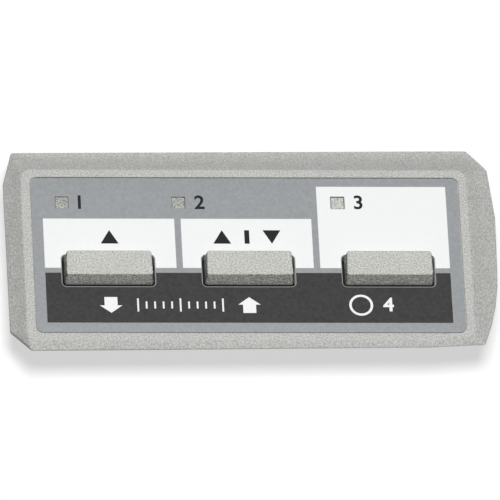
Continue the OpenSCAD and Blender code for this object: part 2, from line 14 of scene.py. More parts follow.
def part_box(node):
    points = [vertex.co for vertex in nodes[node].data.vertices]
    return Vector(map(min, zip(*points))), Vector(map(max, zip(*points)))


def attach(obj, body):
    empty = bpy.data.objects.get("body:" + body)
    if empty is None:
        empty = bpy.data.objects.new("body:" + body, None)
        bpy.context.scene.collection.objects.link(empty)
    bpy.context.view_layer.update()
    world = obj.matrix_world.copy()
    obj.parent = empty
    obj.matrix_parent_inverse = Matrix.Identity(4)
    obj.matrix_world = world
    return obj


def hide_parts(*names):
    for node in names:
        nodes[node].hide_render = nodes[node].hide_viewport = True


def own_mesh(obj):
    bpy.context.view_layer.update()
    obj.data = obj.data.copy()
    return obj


MM = 0.001
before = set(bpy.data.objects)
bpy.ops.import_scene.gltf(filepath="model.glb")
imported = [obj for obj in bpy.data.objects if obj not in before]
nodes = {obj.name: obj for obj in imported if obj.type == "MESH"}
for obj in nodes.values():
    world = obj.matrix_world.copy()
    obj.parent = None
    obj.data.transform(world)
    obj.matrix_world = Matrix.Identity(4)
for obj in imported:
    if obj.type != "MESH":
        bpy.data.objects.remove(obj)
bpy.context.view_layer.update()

# ---- Sizes, in millimetres -----------------------------------------------------------------------

SIDES = ("left", "middle", "right")
SKIN = 0.02                     # how far a finer outside lies below the CAD's own
BEYOND = 1.0                    # how far a cutting solid reaches past what it cuts

# Cover
RIM_R = 2.1                     # radius of the rim's outer corners
RECESS_GAP = 0.12               # gap round the label in its recess
RECESS_EDGE_R = 0.12            # rounding of the rim's inner edge
OUTLINE_CORNER = 0.2            # rounding of the outline's corners
OUTLINE_EDGE_R = 0.15           # rounding of the flanks' outer edge
TRIM = 0.22                     # how far the outline's left end lies inside the CAD's own
FRONT_LAND = 0.1                # height of the front edge's upright part
FRONT_SLOPE = 0.7               # slope of the bevel above it
FRONT_SOFT = 0.05               # softness of the bevel's upper edge
FRONT_FACING = 0.98             # how straight to the front a side of the outline has to face to have a bevel
NO_BEVEL = 10.0                 # lifts the bevel out of the way along the other sides
RIM_CREASE = 0.025              # softness of the edges between the rim and the flanks
RIM_CREASE_REACH = 0.4
FLANK_CREASE = 0.12             # softness of the edges between one flank and the next
FLANK_CREASE_REACH = 2.5
FLANK_HOLLOW = 0.02             # how hollow the flanks are, as a share of their width
REAR_HOLLOW = 0.16              # how much steeper the rear flank is at the rim, before it flattens out
REAR_HOLLOW_RISE = 1.2          # over which height below the side flanks that hollow sets in
ROOF_UP = 0.3                   # least upward share of a normal for its face to count as the cover's outside
PLANE_SLACK = 0.004             # how far the CAD's points may lie above one of the planes of that outside
PLANE_APART = 0.05              # least distance between two such planes, at the corners of the CAD's box
FACE_SLACK = 0.005              # how far below the face a point of the flat rim may lie
SAME_PLACE = 0.002              # how near two points are that count as one, seen from above
WELD = 1e-4                     # how near two points of a CAD mesh are that are joined
FLAT_ANGLE = 0.05               # angle in degrees under which two of its faces are one

# Mesh of the cover: the stops of its rays from the recess to the outline
RAY_STEP = 0.5
RAY_APART = 4e-4                # least angle between two rays, in radians
RECESS_STOP = 0.97              # innermost stop, as a share of the way to the recess's edge
RIM_PROBE = 0.3                 # where the rim's height is taken, as a share of its width
RIM_STOPS = (0.15, 0.4, 0.6, 0.7, 0.8, 0.87, 0.93, 0.97)
FLANK_STOPS = (0, 0.01, 0.02, 0.035, 0.055, 0.08, 0.11, 0.15, 0.2, *np.linspace(0.27, 0.9, 10))
EDGE_STOPS = (0.45, 0.3, 0.22, 0.17, 0.125, 0.085, 0.05, 0.025, 0.008, 0.0)
EDGE_REACH = 1.3                # length that the edge's stops are shares of
EDGE_SHARE = 0.09               # the most that they take of the flank's width

# Label and its print
LABEL_R = 1.4                   # corner radius of the label
LABEL_EDGE_R = 0.06
LABEL_SHORT = 0.1               # how much further the label stays from the recess along its lower edge
LABEL_FLAT = 0.5                # how far in from its edge the label is flat
LABEL_FLAT_R = 0.6
LABEL_FLAT_STEP = 0.1           # how much further in the room above that flat part ends
BUTTON_HOLE = (18.7, 7.25, 0.95)                # width, depth and corner radius
WINDOW_HOLE = (2.7, 2.7, 0.1)
INK_T = 0.012                   # thickness of the ink
INK_ROOT = 0.004                # how deep the ink's mesh goes into the label
INK_MARGIN = 0.12               # how far the ink stays back from the button holes
FIELD_X = (-40.78, 40.5)        # ends of the printed fields
FIELD_GAP = 1.3                 # bare strip between neighbouring fields
FIELD_SPLIT = 14.43             # inner end of the outer fields
WHITE_Y = (-2.91, 8.37)
WHITE_TALL_Y = 15.79            # upper edge of the right-hand field
DARK_Y = (-15.43, -4.03)
DIGIT_H = 3.1
DIGIT_SHARE = 0.72              # height of a digit as a share of its font's size
DIGIT_BOLD = 0.09
DIGITS = {"1": -33.6, "2": -10.2, "3": 21.9}    # the digits beside the windows and their left ends
DIGIT_Y = 10.6
LAST_DIGIT = (26.6, -12.8)      # lower left corner of the digit in the dark field
MARK_Y = 4.2                    # middle of the marks above the buttons
MARK_W = 3.6
MARK_H = 3.1
MARK_BAR = 1.0
MARK_X = -27.6                  # middle of the mark above the left button
MARK_PAIR_X = 5.0               # how far the outer marks above the middle button are from its bar
ARROW_Y = -11.4                 # middle of the arrows below the buttons
ARROW_H = 3.6
ARROW_W = 4.5
ARROW_STEM = 2.6
ARROW_NECK = 0.1                # where an arrow's head begins, from its middle
ARROWS_X = (-27.9, -0.2)
RING_X = 22.2
RING_R = 2.4
RING_T = 0.5
TICKS = 11                      # marks of the scale between the arrows, every fifth a long one
TICKS_X = (-22.5, -5.5)
TICK_T = 0.35
TICK_LONG = 3.0
TICK_SHORT = 1.6

# Buttons and windows
CAP = (17.8, 6.3)               # width and depth of a cap where it leaves the label
CAP_R = 0.55
CAP_TAPER = (0.18, 0.75)        # how much it narrows up to its top: each side, and the front
CAP_TAPER_REAR = 0.025          # by which share its top is narrower at the rear
CAP_EDGE_R = 0.28
CAP_STOPS = (0.25, 0.5, 0.75, 0.92)
CAP_TOP_STOPS = ((0.15, 0.2), (0.8, 0.15))      # distance in from the rounded edge, and corner radius
FLANGE_TOP = 1.0                # height of the flange under the label that holds a cap in
FLANGE_ROOM = 3.0               # room left round the cap for that flange
ROOM_R = 2.0
GUIDE_W = 2.6
GUIDE_R = 0.25
GUIDE_EDGE_R = 0.15
GUIDE_FLAT = 1.8
GUIDE_FOOT = 0.61               # height of a light guide's foot
GUIDE_FOOT_R = 0.1
GUIDE_ROOM = 12.0               # width of the room left for that foot

# Camera, at the photograph's viewing angle; its angles are in degrees
CAMERA_ELEVATION = 60.0
CAMERA_AZIMUTH = -11.568209
CAMERA_ROLL = 10.142536
CAMERA_DISTANCE = 2800.0
CAMERA_SENSOR = 36.0
PICTURE = 500                   # width and height of the photograph, in pixels
PIXEL = 0.2                     # size of one of its pixels at the label
AIM = (6.52, 3.71)              # a place on the label
AIM_PIXEL = (279.41, 239.20)    # where the photograph shows that place, from its upper left corner

# Studio; the floor's and the lamp's own lengths are in metres
FLOOR_HALF = 4.0
FLOOR_GAP = 0.02                # gap under the object
FLOOR_SHADE = 0.45              # how deep a shadow the pale floor shows
FLOOR_LIFT = 0.6                # brings its lit part up to white
FLOOR_PLAIN = (120, 300)        # distances from the middle between which it turns plain white
FLOOR_BOUNCE = 0.42             # how much light it throws back on the object
AMBIENT = 0.03
KEY_DIRECTION = (-0.03, -0.12, 0.99)
KEY_DISTANCE = 1.2
KEY_SIZE = 0.4
KEY_LEVEL = 0.93


def size_of(node):
    """Lowest and highest corner of a CAD node in millimetres."""
    low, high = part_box(node)
    return np.array(low) / MM, np.array(high) / MM


LABEL_LOW, LABEL_HIGH = size_of("control_label")
LABEL_TOP = LABEL_HIGH[2]


# ---- Colours -------------------------------------------------------------------------------------


def srgb(r, g, b):
    """Linear colour of an sRGB colour given as 0 to 255."""
    def linear(c):
        c /= 255
        return c / 12.92 if c <= 0.04045 else ((c + 0.055) / 1.055) ** 2.4

    return (linear(r), linear(g), linear(b), 1.0)


# ---- Materials -----------------------------------------------------------------------------------

PAINTED_SHADE_REACH = 0.9             # how near the other side of a crevice is, for the painted shade in it
PAINTED_SHADE_OPEN = (0.1, 0.62)      # how open a place is where the painted shade is deepest and where it ends
PAINTED_SHADE_SHARE = 0.06                   # share of its own colour that a surface keeps under the painted shade
PAINTED_SHADE_BLEND = 0.2                # over which height a button's sides turn from their own colour into painted shade
FACING = (0.3, 0.95)            # shares of the normal between which a surface turns to face a direction
NOISE_RANGE = (0.3, 0.7)        # between which nearly all noise values lie
GRAIN_RANGE = (0.32, 0.68)      # noise values that are the darkest and the lightest speckles
CLOUD_SHARE = 0.15              # how much of the unevenness is in wide clouds
CLOUD_GRAINS = 12               # how many grains wide they are
PITS_RANGE = (0.36, 0.64)       # noise values of the pits and the peaks of a side with painted shade
PITS_SHADE = (1.75, 0.25)        # how deep the painted shade is there, as a factor on the side's own


class Shader:
    """One Principled material and short calls that add nodes to it."""

    def __init__(self, name, colour, roughness, **values):
        self.material = bpy.data.materials.new(name)
        self.material.use_nodes = True
        self.tree = self.material.node_tree
        self.bsdf = self.tree.nodes["Principled BSDF"]
        self.bsdf.inputs["Base Color"].default_value = colour
        self.bsdf.inputs["Roughness"].default_value = roughness
        for socket, value in values.items():
            self.bsdf.inputs[socket.replace("_", " ")].default_value = value
        self.colour = colour
        self.place = self.node("ShaderNodeTexCoord").outputs["Object"]

    def node(self, kind, **settings):
        """A new node of a kind, with its settings."""
        made = self.tree.nodes.new(kind)
        for key, value in settings.items():
            setattr(made, key, value)
        return made

    def link(self, source, target):
        self.tree.links.new(source, target)

    def noise(self, size, detail=2.0, roughness=0.5, stretch=(1, 1, 1)):
        """Noise whose features are about size millimetres across, as a value around 0.5."""
        mapping = self.node("ShaderNodeMapping")
        mapping.inputs["Scale"].default_value = [1 / (2 * size * MM * s) for s in stretch]
        self.link(self.place, mapping.inputs["Vector"])
        noise = self.node("ShaderNodeTexNoise")
        noise.inputs["Scale"].default_value = 1.0
        noise.inputs["Detail"].default_value = detail
        noise.inputs["Roughness"].default_value = roughness
        self.link(mapping.outputs["Vector"], noise.inputs["Vector"])
        return noise.outputs["Fac"]

    def spread(self, value, low, high, out_low, out_high):
        """value from low to high, spread over out_low to out_high."""
        ranged = self.node("ShaderNodeMapRange")
        sockets = ("From Min", "From Max", "To Min", "To Max")
        for socket, number in zip(sockets, (low, high, out_low, out_high)):
            ranged.inputs[socket].default_value = number
        self.link(value, ranged.inputs["Value"])
        return ranged.outputs["Result"]

    def mix(self, factor, a, b):
        """Colour between a and b; each is a colour or a socket."""
        mixed = self.node("ShaderNodeMix", data_type="RGBA")
        self.link(factor, mixed.inputs["Factor"])
        for socket, colour in ((mixed.inputs[6], a), (mixed.inputs[7], b)):
            if hasattr(colour, "links"):
                self.link(colour, socket)
            else:
                socket.default_value = colour
        return mixed.outputs[2]

    def math(self, operation, a, b=0.0):
        """The result of an operation on a and b; each is a number or a socket."""
        made = self.node("ShaderNodeMath", operation=operation)
        for socket, value in zip(made.inputs, (a, b)):
            if hasattr(value, "links"):
                self.link(value, socket)
            else:
                socket.default_value = value
        return made.outputs[0]

    def tint(self, amount, value):
        """The base colour, lighter and darker by amount with value."""
        dark = [c * (1 - amount) for c in self.colour[:3]] + [1.0]
        light = [min(1.0, c * (1 + amount)) for c in self.colour[:3]] + [1.0]
        return self.mix(value, dark, light)

    def paint(self, colour):
        """Makes colour, a socket, the base colour."""
        self.link(colour, self.bsdf.inputs["Base Color"])

    def gloss(self, value, low, high):
        """Roughness from low to high with value, a noise."""
        self.link(self.spread(value, *NOISE_RANGE, low, high), self.bsdf.inputs["Roughness"])

    def crevice_painted_shade(self, reach, amount, colour):
        """colour, darkened by amount as painted shade where another surface stands within reach millimetres.
        """
        openness = self.node("ShaderNodeAmbientOcclusion", samples=8)
        openness.inputs["Distance"].default_value = reach * MM
        painted_shade_amount = self.spread(openness.outputs["AO"], *PAINTED_SHADE_OPEN, amount, 0.0)
        return self.mix(painted_shade_amount, colour, self.painted_shade_colour())

    def facing(self, ends, front):
        """A value: ends where the surface faces X or -X, front where it faces -Y, and 0 where it faces up."""
        normal = self.node("ShaderNodeSeparateXYZ")
        self.link(self.node("ShaderNodeNewGeometry").outputs["True Normal"], normal.inputs[0])
        end_share = self.spread(self.math("ABSOLUTE", normal.outputs["X"]), *FACING, 0.0, ends)
        front_share = self.spread(normal.outputs["Y"], -FACING[0], -FACING[1], 0.0, front)
        return self.math("ADD", end_share, front_share)

    def painted_shade_colour(self):
        """The base colour darkened as painted shade."""
        return [c * PAINTED_SHADE_SHARE for c in self.colour[:3]] + [1.0]

    def bump(self, height, depth):
        """Bumps depth millimetres high."""
        bump = self.node("ShaderNodeBump")
        bump.inputs["Distance"].default_value = depth * MM
        self.link(height, bump.inputs["Height"])
        self.link(bump.outputs["Normal"], self.bsdf.inputs["Normal"])


def textured_plastic(name, colour, grain, tint, depth, roughness,
                     crevice_shade=0.0, shade_below=None, shaded_sides=None):
    """Moulded plastic with a spark-eroded grain, grain millimetres across and depth deep.

    Its last three arguments give painted shade: how deep it is in its crevices, the height under which
    it covers everything, and how deep it is on the faces towards X and towards the front.
    """
    shader = Shader(name, colour, roughness, Specular_IOR_Level=0.35)
    fine = shader.noise(grain, detail=3.0, roughness=0.6)
    cloud = shader.noise(CLOUD_GRAINS * grain, detail=2.0)
    speckle = shader.spread(fine, *GRAIN_RANGE, 0.0, 1.0)
    tone = shader.math("ADD", shader.math("MULTIPLY", speckle, 1 - CLOUD_SHARE),
                       shader.math("MULTIPLY", cloud, CLOUD_SHARE))
    shade = shader.tint(tint, tone)
    # Painted shade in crevices, where another surface stands near
    if crevice_shade:
        shade = shader.crevice_painted_shade(PAINTED_SHADE_REACH, crevice_shade, shade)
    # Painted shade below the given height, in the gap round a button
    if shade_below is not None:
        height = shader.node("ShaderNodeSeparateXYZ")
        shader.link(shader.place, height.inputs[0])
        painted_shade_amount = shader.spread(height.outputs["Z"], (shade_below - PAINTED_SHADE_BLEND) * MM, shade_below * MM, 1.0, 0.0)
        shade = shader.mix(painted_shade_amount, shade, shader.painted_shade_colour())
    # Painted shade on the faces towards X and towards the front, deeper in the grain's pits
    if shaded_sides:
        pits = shader.spread(fine, *PITS_RANGE, *PITS_SHADE)
        painted_shade_amount = shader.math("MULTIPLY", shader.facing(*shaded_sides), pits)
        shade = shader.mix(painted_shade_amount, shade, shader.painted_shade_colour())
    shader.paint(shade)
    shader.gloss(fine, roughness - 0.08, roughness + 0.1)
    shader.bump(fine, depth)
    return shader.material


def film(name, colour, roughness, tint):
    """Smooth printed film or ink, with the faintest unevenness."""
    shader = Shader(name, colour, roughness, Specular_IOR_Level=0.2)
    mottle = shader.noise(0.35, detail=4.0, roughness=0.6)
    shader.paint(shader.tint(tint, shader.spread(mottle, *NOISE_RANGE, 0.0, 1.0)))
    shader.gloss(mottle, roughness - 0.05, roughness + 0.05)
    shader.bump(shader.noise(0.25, detail=2.0), 0.004)
    return shader.material


def moulded(name, colour, roughness):
    """Small smooth moulding."""
    shader = Shader(name, colour, roughness)
    mottle = shader.noise(0.8, detail=3.0)
    shader.paint(shader.tint(0.04, mottle))
    shader.gloss(mottle, roughness - 0.06, roughness + 0.08)
    shader.bump(shader.noise(0.15, detail=2.0), 0.006)
    return shader.material


def metal(name, colour, roughness, stretch=(1, 1, 1)):
    """Bare or plated metal with fine drawing marks along stretch."""
    shader = Shader(name, colour, roughness, Metallic=1.0)
    marks = shader.noise(0.08, detail=4.0, roughness=0.7, stretch=stretch)
    stain = shader.noise(1.2, detail=2.0)
    shader.paint(shader.tint(0.08, stain))
    shader.gloss(marks, roughness - 0.08, roughness + 0.14)
    shader.bump(marks, 0.004)
    return shader.material


# The cover's plastic, with faint painted shade in its crevices
COVER = textured_plastic("cover_plastic", srgb(191, 191, 188), grain=0.16, tint=0.4, depth=0.08,
                         roughness=0.62, crevice_shade=0.1)
# The buttons' plastic, with painted shade in crevices, below the label's top and on the ends and front
BUTTON = textured_plastic("button_plastic", srgb(198, 199, 193), grain=0.16, tint=0.46, depth=0.16,
                          roughness=0.6, crevice_shade=0.8, shade_below=LABEL_TOP, shaded_sides=(0.8, 0.24))
LABEL = film("label_film", srgb(156, 159, 161), 0.5, tint=0.09)
WHITE = film("label_white", srgb(246, 247, 247), 0.5, tint=0.01)
DARK = film("label_dark", srgb(54, 54, 54), 0.55, tint=0.3)
BLACK = film("label_black", srgb(14, 14, 16), 0.5, tint=0.05)
GUIDE = textured_plastic("light_guide_plastic", srgb(164, 165, 160), grain=0.13, tint=0.9, depth=0.08,
                         roughness=0.4)
GUIDE_PALE = textured_plastic("light_guide_pale", srgb(194, 196, 190), grain=0.15, tint=0.5, depth=0.04,
                              roughness=0.4)


# ---- Meshes --------------------------------------------------------------------------------------


def new_object(name, data):
    """A new object in the scene, with its mesh, curve, lamp or camera."""
    made = bpy.data.objects.new(name, data)
    bpy.context.scene.collection.objects.link(made)
    return made


def mesh_from(name, points, faces):
    """A checked mesh from points and the faces between them."""
    mesh = bpy.data.meshes.new(name)
    mesh.from_pydata([tuple(map(float, p)) for p in points], [], faces)
    mesh.validate()
    return mesh


def ring_faces(first, second, count):
    """Faces between two rings of count points, which begin at the points first and second."""
    return [(first + k, first + (k + 1) % count, second + (k + 1) % count, second + k) for k in range(count)]


def loft(name, rings):
    """A closed solid through rings of equally many points, counted anticlockwise, from the lowest ring up."""
    count = len(rings[0])
    faces = [tuple(reversed(range(count)))]
    for k in range(len(rings) - 1):
        faces += ring_faces(k * count, (k + 1) * count, count)
    top = (len(rings) - 1) * count
    faces.append(tuple(range(top, top + count)))
    return new_object(name, mesh_from(name, np.concatenate(rings), faces))


def level(curve, z):
    """A 2-D curve as points at height z."""
    curve = np.asarray(curve, float)
    return np.column_stack([curve, np.broadcast_to(z, len(curve))])


def rounded_rect(width, height, radius, centre=(0, 0), inset=0.0, steps=12):
    """A rectangle with round corners, anticlockwise, with every side moved in by inset."""
    points = []
    for sx, sy, start in ((1, 1, 0), (-1, 1, 90), (-1, -1, 180), (1, -1, 270)):
        for k in range(steps + 1):
            angle = math.radians(start + 90 * k / steps)
            points.append((centre[0] + sx * (width / 2 - radius) + (radius - inset) * math.cos(angle),
                           centre[1] + sy * (height / 2 - radius) + (radius - inset) * math.sin(angle)))
    return np.array(points)


def rounding(radius, steps):
    """Stops over a rounded edge, from its side to its top: how far in and how far down each lies."""
    for k in range(steps + 1):
        turn = math.radians(90 * k / steps)
        yield radius * (1 - math.cos(turn)), radius * (1 - math.sin(turn))


def evaluated(obj):
    """A new mesh with obj's modifiers applied; obj is removed."""
    depsgraph = bpy.context.evaluated_depsgraph_get()
    mesh = bpy.data.meshes.new_from_object(obj.evaluated_get(depsgraph), depsgraph=depsgraph)
    bpy.data.objects.remove(obj)
    return mesh


def boolean(obj, other, operation):
    """What the operation with other leaves of obj; both are used up."""
    name = obj.name
    modifier = obj.modifiers.new("boolean", "BOOLEAN")
    modifier.operation = operation
    modifier.solver = "MANIFOLD"
    modifier.object = other
    mesh = evaluated(obj)
    bpy.data.objects.remove(other)
    if not len(mesh.polygons):
        raise RuntimeError(f"nothing is left of {name}")
    return new_object(name, mesh)


def cad_copy(node, name):
    """A welded copy of a CAD node, in millimetres."""
    mesh = nodes[node].data.copy()
    mesh.materials.clear()
    mesh.transform(Matrix.Scale(1 / MM, 4))
    shape = bmesh.new()
    shape.from_mesh(mesh)
    bmesh.ops.remove_doubles(shape, verts=shape.verts, dist=WELD)
    bmesh.ops.dissolve_limit(shape, angle_limit=math.radians(FLAT_ANGLE),
                             verts=shape.verts, edges=shape.edges)
    bmesh.ops.triangulate(shape, faces=[f for f in shape.faces if len(f.verts) > 4])
    shape.to_mesh(mesh)
    shape.free()
    return new_object(name, mesh)


def finish_piece(obj, material, body, smooth=30.0, stands_for=()):
    """Scales a piece to metres, shades it, paints it and lets it ride on its body."""
    mesh = obj.data
    mesh.transform(Matrix.Scale(MM, 4))
    mesh.shade_smooth()
    mesh.set_sharp_from_angle(angle=math.radians(smooth))
    mesh.materials.clear()
    mesh.materials.append(material)
    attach(obj, body)
    if stands_for:
        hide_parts(*stands_for)


# ---- Cover ---------------------------------------------------------------------------------------


def corners_of(node):
    """The points of a CAD node's mesh, in millimetres."""
    return np.array([v.co for v in nodes[node].data.vertices], float) / MM


def roof_planes(node):
    """The planes z = a*x + b*y + c that bound a CAD node from above, each as a, b and c."""
    points = corners_of(node)
    corners = points[np.array([face.vertices[:3] for face in nodes[node].data.polygons])]
    normals = np.cross(corners[:, 1] - corners[:, 0], corners[:, 2] - corners[:, 0])
    size = np.linalg.norm(normals, axis=1)
    facing_up = normals[:, 2] > ROOF_UP * size
    normals, places, size = normals[facing_up], corners[facing_up, 0], size[facing_up]
    slopes = -normals[:, :2] / normals[:, 2:]
    planes = np.column_stack([slopes, places[:, 2] - (slopes * places[:, :2]).sum(1)])
    (left, front, _), (right, rear, _) = size_of(node)
    far_corners = np.array([(x, y, 1) for x in (left, right) for y in (front, rear)])
    found = []
    for plane in planes[np.argsort(-size)]:
        if (points[:, 2] - points[:, :2] @ plane[:2] - plane[2]).max() > PLANE_SLACK:
            continue
        if all(np.abs(far_corners @ (plane - other)).max() > PLANE_APART for other in found):
            found.append(plane)
    return np.array(found)


def outline_of(node):
    """The convex outline of a CAD node, seen from above, anticlockwise."""
    points = sorted({(round(x, 3), round(y, 3)) for x, y, _ in corners_of(node).tolist()})

    def turn(a, b, c):
        """Above 0 where the way from a over b to c turns left."""
        return (b[0] - a[0]) * (c[1] - a[1]) - (b[1] - a[1]) * (c[0] - a[0])

    def chain(sequence):
        """The points of one half of the outline, without its last."""
        kept = []
        for p in sequence:
            while len(kept) > 1 and turn(kept[-2], kept[-1], p) <= 1e-6:
                kept.pop()
            kept.append(p)
        return kept[:-1]

    return np.array(chain(points) + chain(points[::-1]))


def side_lines(polygon):
    """Outward normals of a convex polygon's sides, and their distances from the origin."""
    along = np.roll(polygon, -1, 0) - polygon
    length = np.linalg.norm(along, axis=1)
    outward = np.column_stack([along[:, 1], -along[:, 0]]) / length[:, None]
    return outward, (outward * polygon).sum(1)


def depth_inside(polygon, points):
    """How far points lie inside a convex polygon."""
    outward, offset = side_lines(polygon)
    return (offset[None, :] - points @ outward.T).min(1)


def shrink(polygon, distance):
    """A convex polygon with every side moved inwards."""
    outward, offset = side_lines(polygon)
    offset = offset - distance
    corners = []
    for k in range(len(polygon)):
        corners.append(np.linalg.solve(np.array([outward[k - 1], outward[k]]), [offset[k - 1], offset[k]]))
    return np.array(corners)


def soften(polygon, reach, steps=5):
    """A convex polygon with its corners rounded off over at most reach."""
    points = []
    for k, corner in enumerate(polygon):
        before, after = polygon[k - 1], polygon[(k + 1) % len(polygon)]
        start = corner + (before - corner) * min(0.5, reach / np.linalg.norm(before - corner))
        end = corner + (after - corner) * min(0.5, reach / np.linalg.norm(after - corner))
        for t in np.linspace(0, 1, steps):
            points.append((1 - t) ** 2 * start + 2 * t * (1 - t) * corner + t ** 2 * end)
    kept = [p for k, p in enumerate(points) if np.linalg.norm(p - points[k - 1]) > 1e-4]
    return np.array(kept)


def front_edge(node, outline):
    """A function that gives the height of a CAD node's lower edge next to points in its outline.

    It is out of the way, far above, where the nearest side doesn't face the front.
    """
    corners = corners_of(node)
    heights = np.array([corners[np.linalg.norm(corners[:, :2] - place, axis=1) < SAME_PLACE, 2].min()
                        for place in outline])
    following = np.roll(outline, -1, 0)
    outward, offset = side_lines(outline)
    elsewhere = np.where(outward[:, 1] < -FRONT_FACING, 0, NO_BEVEL)

    def height_at(points):
        side = (offset[None, :] - points @ outward.T).argmin(1)
        along = following[side] - outline[side]
        share = ((points - outline[side]) * along).sum(1) / (along ** 2).sum(1)
        climb = np.roll(heights, -1)[side] - heights[side]
        return heights[side] + climb * np.clip(share, 0, 1) + elsewhere[side]

    return height_at


def resample(curve, step):
    """A closed curve with extra points, so that no two neighbours are further than step apart."""
    points = []
    for start, end in zip(curve, np.roll(curve, -1, 0)):
        count = max(1, math.ceil(np.linalg.norm(end - start) / step))
        points += [start + (end - start) * k / count for k in range(count)]
    return np.array(points)


def along_rays(curve, directions):
    """Where rays from the origin leave a convex curve."""
    outward, offset = side_lines(curve)
    reach = directions @ outward.T
    distance = np.where(reach > 1e-9, offset[None, :] / np.maximum(reach, 1e-9), np.inf).min(1)
    return directions * distance[:, None]


def rays_through(curves, scale):
    """Directions from the middle, as evenly spread over curves as they need to be.

    scale is the half width and half depth of the rectangle that the rays' angles are counted in.
    """
    marks = np.concatenate([resample(curve, RAY_STEP) for curve in curves]) / scale
    angles = np.sort(np.arctan2(marks[:, 1], marks[:, 0]))
    angles = angles[np.concatenate([[True], np.diff(angles) > RAY_APART])]
    rays = np.column_stack([np.cos(angles), np.sin(angles)]) * scale
    return rays / np.linalg.norm(rays, axis=1)[:, None]


def smooth_step(t):
    """From 0 to 1, level at both ends, while t goes from 0 to 1."""
    t = np.clip(t, 0, 1)
    return t ** 2 * (3 - 2 * t)


def cover_height(node, planes, rim, outline):
    """A function that gives the height of the cover's softened outside at points."""
    edge_at = front_edge(node, outline_of(node))
    sideways = np.abs(planes[:, 0]) > np.abs(planes[:, 1])

    def height(points):
        levels = points @ planes[:, :2].T + planes[:, 2][None, :]
        lowest = levels.min(1)
        past_rim = np.maximum(-depth_inside(rim, points), 0)
        to_edge = np.maximum(depth_inside(outline, points), 0)
        # The lowest of the planes, with edges that are softer between two flanks than at the rim
        beyond_rim = smooth_step((past_rim - RIM_CREASE_REACH) / FLANK_CREASE_REACH)
        soft = RIM_CREASE + (FLANK_CREASE - RIM_CREASE) * beyond_rim
        z = lowest - soft * np.log(np.exp(-(levels - lowest[:, None]) / soft[:, None]).sum(1))
        # The hollow of the flanks, which is deeper at the rear
        rear = (points[:, 1] > 0) * smooth_step((levels[:, sideways].min(1) - lowest) / REAR_HOLLOW_RISE)
        width = np.maximum(past_rim + to_edge, 1e-6)
        share = past_rim / width
        z -= width * (FLANK_HOLLOW * 4 * share * (1 - share) + REAR_HOLLOW * rear * (share - share ** 4))
        # The bevel above the front edge
        bevel = edge_at(points) + FRONT_LAND + FRONT_SLOPE * to_edge
        z = np.minimum(z, bevel) - FRONT_SOFT * np.exp(-np.abs(z - bevel) / FRONT_SOFT)
        # The rounded outer edge
        inside = np.minimum(to_edge, OUTLINE_EDGE_R)
        z -= OUTLINE_EDGE_R - np.sqrt(OUTLINE_EDGE_R ** 2 - (OUTLINE_EDGE_R - inside) ** 2)
        return z - SKIN / 2

    return height


def cover_blank(node):
    """A solid whose top is the cover's outside with all its edges softened, a hair below the CAD's own."""
    planes = roof_planes(node)
    trimmed = shrink(outline_of(node), SKIN)
    to_left = np.clip(-trimmed[:, 0] / trimmed[:, 0].max(), 0, 1)
    trimmed -= TRIM * np.column_stack([-to_left * (trimmed[:, 1] < 0), to_left * np.sign(trimmed[:, 1])])
    outline = soften(trimmed, OUTLINE_CORNER)
    face_z = planes[np.abs(planes[:, :2]).sum(1).argmin(), 2]
    corners = corners_of(node)
    flat = corners[corners[:, 2] > face_z - FACE_SLACK]
    rim = rounded_rect(*np.ptp(flat, axis=0)[:2], RIM_R, steps=24)
    label = (LABEL_HIGH - LABEL_LOW)[:2]
    gap = RECESS_GAP + SKIN
    recess = rounded_rect(*label, LABEL_R, inset=-gap, steps=16)
    recess_edge = rounded_rect(*label, LABEL_R, inset=-gap - RECESS_EDGE_R, steps=16)

    rays = rays_through((rim, outline), label / 2)
    at_rim, at_outline = along_rays(rim, rays), along_rays(outline, rays)
    at_recess, at_edge = along_rays(recess, rays), along_rays(recess_edge, rays)
    height = cover_height(node, planes, rim, outline)
    rim_z = height(at_edge + RIM_PROBE * (at_rim - at_edge))
    floor_z = LABEL_LOW[2] - SKIN
    rings = [level(at_recess * RECESS_STOP, floor_z), level(at_recess, floor_z)]
    for share, drop in rounding(1, 5):
        rings.append(level(at_recess + (at_edge - at_recess) * share, rim_z - RECESS_EDGE_R * drop))
    stops = [at_edge + (at_rim - at_edge) * t for t in RIM_STOPS]
    flank = at_outline - at_rim
    stops += [at_rim + flank * t for t in FLANK_STOPS]
    width = np.linalg.norm(flank, axis=1)[:, None]
    for back in EDGE_STOPS:
        stops.append(at_outline - flank / width * np.minimum(back * EDGE_REACH, width * EDGE_SHARE))
    rings += [level(p, height(p)) for p in stops]
    rings.append(level(at_outline, -BEYOND))
    # The rings run from the recess's floor over the rim to the underside, and a loft starts with the lowest
    return loft("cover_blank", rings[::-1])


def make_cover():
    """The cover, cut from the CAD's own, so that everything behind its face stays as it is there."""
    node = "panel_housing"
    cover = boolean(cad_copy(node, "panel_cover"), cover_blank(node), "INTERSECT")
    finish_piece(cover, COVER, "panel", smooth=28, stands_for=[node])


# ---- Label ---------------------------------------------------------------------------------------


def make_label():
    """The label's film, with softened edges."""
    shape = (*((LABEL_HIGH - LABEL_LOW)[:2] - (0, LABEL_SHORT)), LABEL_R)
    centre = (0, LABEL_SHORT / 2)
    rings = [level(rounded_rect(*shape, centre, SKIN), LABEL_LOW[2] - BEYOND)]
    for inset, drop in rounding(LABEL_EDGE_R, 4):
        rings.append(level(rounded_rect(*shape, centre, SKIN / 2 + inset), LABEL_TOP - drop))
    for back, z in ((0, LABEL_TOP), (LABEL_FLAT_STEP, LABEL_TOP + BEYOND)):
        flat = np.array(shape[:2]) - 2 * (LABEL_FLAT + back)
        rings.append(level(rounded_rect(*flat, LABEL_FLAT_R - back, centre), z))
    label = boolean(cad_copy("control_label", "label_sheet"), loft("label_blank", rings), "INTERSECT")
    finish_piece(label, LABEL, "panel", stands_for=["control_label"])


